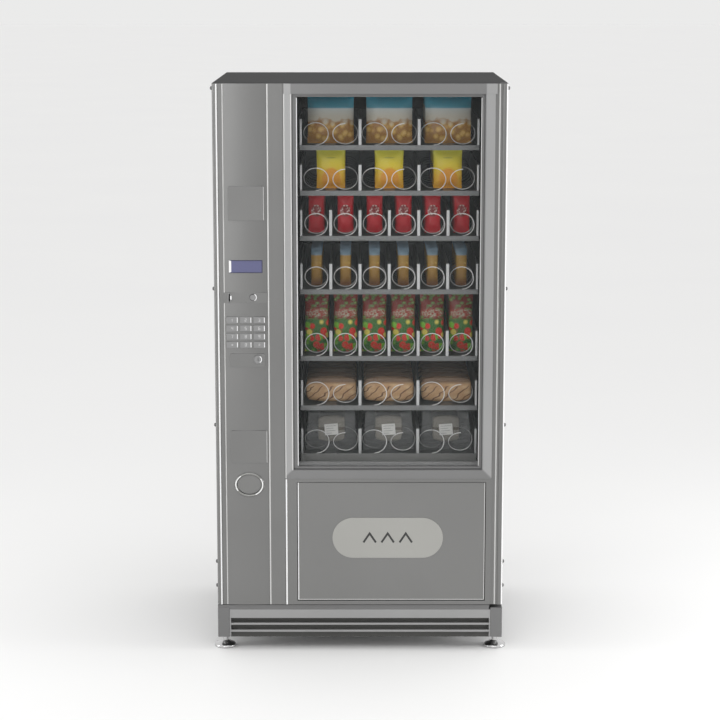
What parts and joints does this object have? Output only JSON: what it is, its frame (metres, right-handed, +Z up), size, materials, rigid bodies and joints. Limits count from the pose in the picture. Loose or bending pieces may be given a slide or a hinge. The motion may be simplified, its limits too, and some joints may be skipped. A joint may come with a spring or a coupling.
{
  "type": "snack vending machine",
  "caption": "Upright glass-fronted snack vending machine with spiral coils on pull-out trays, a keypad column, a push flap and levelling feet.",
  "frame": {"origin": "centre of the footprint, on the floor under the levelling feet", "axes": "+Z up, +Y towards the back, so the door faces -Y; +X to the right seen from the front"},
  "size_m": [0.952, 0.784, 1.83],
  "materials": {
    "cabinet_grey": "satin powder coat on the cabinet",
    "door_grey": "satin metallic paint on the door",
    "frame_light": "light satin anodised trim",
    "liner_dark": "matt dark moulded liner",
    "base_steel": "satin dark grey paint",
    "grille_light": "satin light grey slats",
    "foot_chrome": "polished",
    "screw_dark": "blackened",
    "hinge_steel": "zinc plated",
    "bin_dark": "textured",
    "machinery": "dull",
    "fan_black": "moulded",
    "display_violet": "tinted display window",
    "chrome_trim": "polished",
    "coin_black": "moulded",
    "gasket_grey": "matt",
    "pane": "clear",
    "flap_grey": "satin metallic paint",
    "plate_light": "satin",
    "key_grey": "satin keys",
    "tray_grey": "satin painted sheet",
    "coil_wire": "bright drawn wire",
    "pack_film": "glossy printed film packs"
  },
  "bodies": {
    "cabinet": {"cabinet_shell": "cabinet_grey", "inner_liner": "liner_dark", "base_frame": "base_steel", "kick_grille": "grille_light", "levelling_feet": "foot_chrome", "side_screws": "screw_dark", "door_hinges": "hinge_steel", "delivery_bin": "bin_dark", "refrigeration_unit": "machinery"},
    "door": {"door_frame": "door_grey", "control_fascia": "door_grey", "fascia_covers": "door_grey", "display": "display_violet", "coin_plate": "door_grey", "coin_cup": "chrome_trim", "coin_mechanism": "coin_black", "window_frame": "frame_light", "window_gasket": "gasket_grey", "window_glass": "pane", "flap_surround": "door_grey"},
    "delivery_flap": {"delivery_flap": "flap_grey", "push_plate": "plate_light"},
    "coin_flap": {"coin_flap": "flap_grey"},
    "coin_return_button": {"coin_return_button": "chrome_trim"},
    "door_lock": {"door_lock": "chrome_trim"},
    "condenser_fan": {"condenser_fan": "fan_black"},
    "key_1": {"key_1": "key_grey"},
    "key_2": {"key_2": "key_grey"},
    "key_3": {"key_3": "key_grey"},
    "key_4": {"key_4": "key_grey"},
    "key_5": {"key_5": "key_grey"},
    "key_6": {"key_6": "key_grey"},
    "key_7": {"key_7": "key_grey"},
    "key_8": {"key_8": "key_grey"},
    "key_9": {"key_9": "key_grey"},
    "key_10": {"key_10": "key_grey"},
    "key_11": {"key_11": "key_grey"},
    "key_12": {"key_12": "key_grey"},
    "tray_1": {"tray_1": "tray_grey", "coils_row_1": "coil_wire"},
    "tray_2": {"tray_2": "tray_grey"},
    "tray_3": {"tray_3": "tray_grey", "coils_row_3": "coil_wire"},
    "tray_4": {"tray_4": "tray_grey", "coils_row_4": "coil_wire"},
    "tray_5": {"tray_5": "tray_grey", "coils_row_5": "coil_wire"},
    "tray_6": {"tray_6": "tray_grey", "coils_row_6": "coil_wire"},
    "tray_7": {"tray_7": "tray_grey", "coils_row_7": "coil_wire"},
    "coil_1": {"coil_1": "coil_wire"},
    "coil_2": {"coil_2": "coil_wire"},
    "coil_3": {"coil_3": "coil_wire"},
    "coil_4": {"coil_4": "coil_wire"},
    "coil_5": {"coil_5": "coil_wire"},
    "coil_6": {"coil_6": "coil_wire"},
    "stock_1": {"stock_1": "pack_film"},
    "stock_2": {"stock_2": "pack_film"},
    "stock_3": {"stock_3": "pack_film"}
  },
  "joints": [
    {"name": "door_hinge", "type": "hinge", "parent": "cabinet", "child": "door", "pos_m": [0.448, -0.34, 0.99], "axis": [0, 0, 1], "range_deg": [0, 100]},
    {"name": "delivery_flap_hinge", "type": "hinge", "parent": "door", "child": "delivery_flap", "pos_m": [0.1007, -0.374, 0.574], "axis": [1, 0, 0], "range_deg": [0, 50], "stiffness_Nm_per_rad": 1.2, "springref_deg": -28.65},
    {"name": "coin_flap_hinge", "type": "hinge", "parent": "door", "child": "coin_flap", "pos_m": [-0.354, -0.378, 0.581], "axis": [1, 0, 0], "range_deg": [0, 35], "stiffness_Nm_per_rad": 0.01, "springref_deg": -28.65},
    {"name": "door_lock_turn", "type": "hinge", "parent": "door", "child": "door_lock", "pos_m": [-0.322, -0.376, 0.964], "axis": [0, 1, 0], "range_deg": [0, 90]},
    {"name": "coin_return_press", "type": "slide", "parent": "door", "child": "coin_return_button", "axis": [0, 1, 0], "range_m": [0, 0.003], "stiffness_N_per_m": 500, "springref_m": -0.002},
    {"name": "key_1_press", "type": "slide", "parent": "door", "child": "key_1", "axis": [0, 1, 0], "range_m": [0, 0.002], "stiffness_N_per_m": 600, "springref_m": -0.001},
    {"name": "key_2_press", "type": "slide", "parent": "door", "child": "key_2", "axis": [0, 1, 0], "range_m": [0, 0.002], "stiffness_N_per_m": 600, "springref_m": -0.001},
    {"name": "key_3_press", "type": "slide", "parent": "door", "child": "key_3", "axis": [0, 1, 0], "range_m": [0, 0.002], "stiffness_N_per_m": 600, "springref_m": -0.001},
    {"name": "key_4_press", "type": "slide", "parent": "door", "child": "key_4", "axis": [0, 1, 0], "range_m": [0, 0.002], "stiffness_N_per_m": 600, "springref_m": -0.001},
    {"name": "key_5_press", "type": "slide", "parent": "door", "child": "key_5", "axis": [0, 1, 0], "range_m": [0, 0.002], "stiffness_N_per_m": 600, "springref_m": -0.001},
    {"name": "key_6_press", "type": "slide", "parent": "door", "child": "key_6", "axis": [0, 1, 0], "range_m": [0, 0.002], "stiffness_N_per_m": 600, "springref_m": -0.001},
    {"name": "key_7_press", "type": "slide", "parent": "door", "child": "key_7", "axis": [0, 1, 0], "range_m": [0, 0.002], "stiffness_N_per_m": 600, "springref_m": -0.001},
    {"name": "key_8_press", "type": "slide", "parent": "door", "child": "key_8", "axis": [0, 1, 0], "range_m": [0, 0.002], "stiffness_N_per_m": 600, "springref_m": -0.001},
    {"name": "key_9_press", "type": "slide", "parent": "door", "child": "key_9", "axis": [0, 1, 0], "range_m": [0, 0.002], "stiffness_N_per_m": 600, "springref_m": -0.001},
    {"name": "key_10_press", "type": "slide", "parent": "door", "child": "key_10", "axis": [0, 1, 0], "range_m": [0, 0.002], "stiffness_N_per_m": 600, "springref_m": -0.001},
    {"name": "key_11_press", "type": "slide", "parent": "door", "child": "key_11", "axis": [0, 1, 0], "range_m": [0, 0.002], "stiffness_N_per_m": 600, "springref_m": -0.001},
    {"name": "key_12_press", "type": "slide", "parent": "door", "child": "key_12", "axis": [0, 1, 0], "range_m": [0, 0.002], "stiffness_N_per_m": 600, "springref_m": -0.001},
    {"name": "coil_1_turn", "type": "hinge", "parent": "tray_2", "child": "coil_1", "pos_m": [-0.141, -0.228, 1.517], "axis": [0, -1, 0], "range_deg": [0, 360]},
    {"name": "coil_3_turn", "type": "hinge", "parent": "tray_2", "child": "coil_3", "pos_m": [0.047, -0.228, 1.517], "axis": [0, -1, 0], "range_deg": [0, 360]},
    {"name": "coil_5_turn", "type": "hinge", "parent": "tray_2", "child": "coil_5", "pos_m": [0.235, -0.228, 1.517], "axis": [0, -1, 0], "range_deg": [0, 360]},
    {"name": "tray_1_slide", "type": "slide", "parent": "cabinet", "child": "tray_1", "axis": [0, -1, 0], "range_m": [0, 0.05]},
    {"name": "tray_2_slide", "type": "slide", "parent": "cabinet", "child": "tray_2", "axis": [0, -1, 0], "range_m": [0, 0.05]},
    {"name": "tray_3_slide", "type": "slide", "parent": "cabinet", "child": "tray_3", "axis": [0, -1, 0], "range_m": [0, 0.05]},
    {"name": "tray_4_slide", "type": "slide", "parent": "cabinet", "child": "tray_4", "axis": [0, -1, 0], "range_m": [0, 0.05]},
    {"name": "tray_5_slide", "type": "slide", "parent": "cabinet", "child": "tray_5", "axis": [0, -1, 0], "range_m": [0, 0.05]},
    {"name": "tray_6_slide", "type": "slide", "parent": "cabinet", "child": "tray_6", "axis": [0, -1, 0], "range_m": [0, 0.05]},
    {"name": "tray_7_slide", "type": "slide", "parent": "cabinet", "child": "tray_7", "axis": [0, -1, 0], "range_m": [0, 0.05]},
    {"name": "condenser_fan_spin", "type": "hinge", "parent": "cabinet", "child": "condenser_fan", "pos_m": [0.15, 0.174, 0.3], "axis": [0, 1, 0], "continuous": true},
    {"name": "coil_2_turn", "type": "hinge", "parent": "tray_2", "child": "coil_2", "pos_m": [-0.047, -0.228, 1.517], "axis": [0, -1, 0], "range_deg": [0, 360]},
    {"name": "coil_4_turn", "type": "hinge", "parent": "tray_2", "child": "coil_4", "pos_m": [0.141, -0.228, 1.517], "axis": [0, -1, 0], "range_deg": [0, 360]},
    {"name": "coil_6_turn", "type": "hinge", "parent": "tray_2", "child": "coil_6", "pos_m": [0.329, -0.228, 1.517], "axis": [0, -1, 0], "range_deg": [0, 360]},
    {"name": "stock_1_advance", "type": "slide", "parent": "tray_2", "child": "stock_1", "axis": [0, -1, 0], "range_m": [0, 0.0835]},
    {"name": "stock_2_advance", "type": "slide", "parent": "tray_2", "child": "stock_2", "axis": [0, -1, 0], "range_m": [0, 0.0835]},
    {"name": "stock_3_advance", "type": "slide", "parent": "tray_2", "child": "stock_3", "axis": [0, -1, 0], "range_m": [0, 0.0835]}
  ],
  "couplings": [
    {"joint": "coil_2_turn", "follows": "coil_1_turn", "ratio": 1},
    {"joint": "stock_1_advance", "follows": "coil_1_turn", "m_per_rad": 0.01321},
    {"joint": "coil_4_turn", "follows": "coil_3_turn", "ratio": 1},
    {"joint": "stock_2_advance", "follows": "coil_3_turn", "m_per_rad": 0.01321},
    {"joint": "coil_6_turn", "follows": "coil_5_turn", "ratio": 1},
    {"joint": "stock_3_advance", "follows": "coil_5_turn", "m_per_rad": 0.01321}
  ]
}
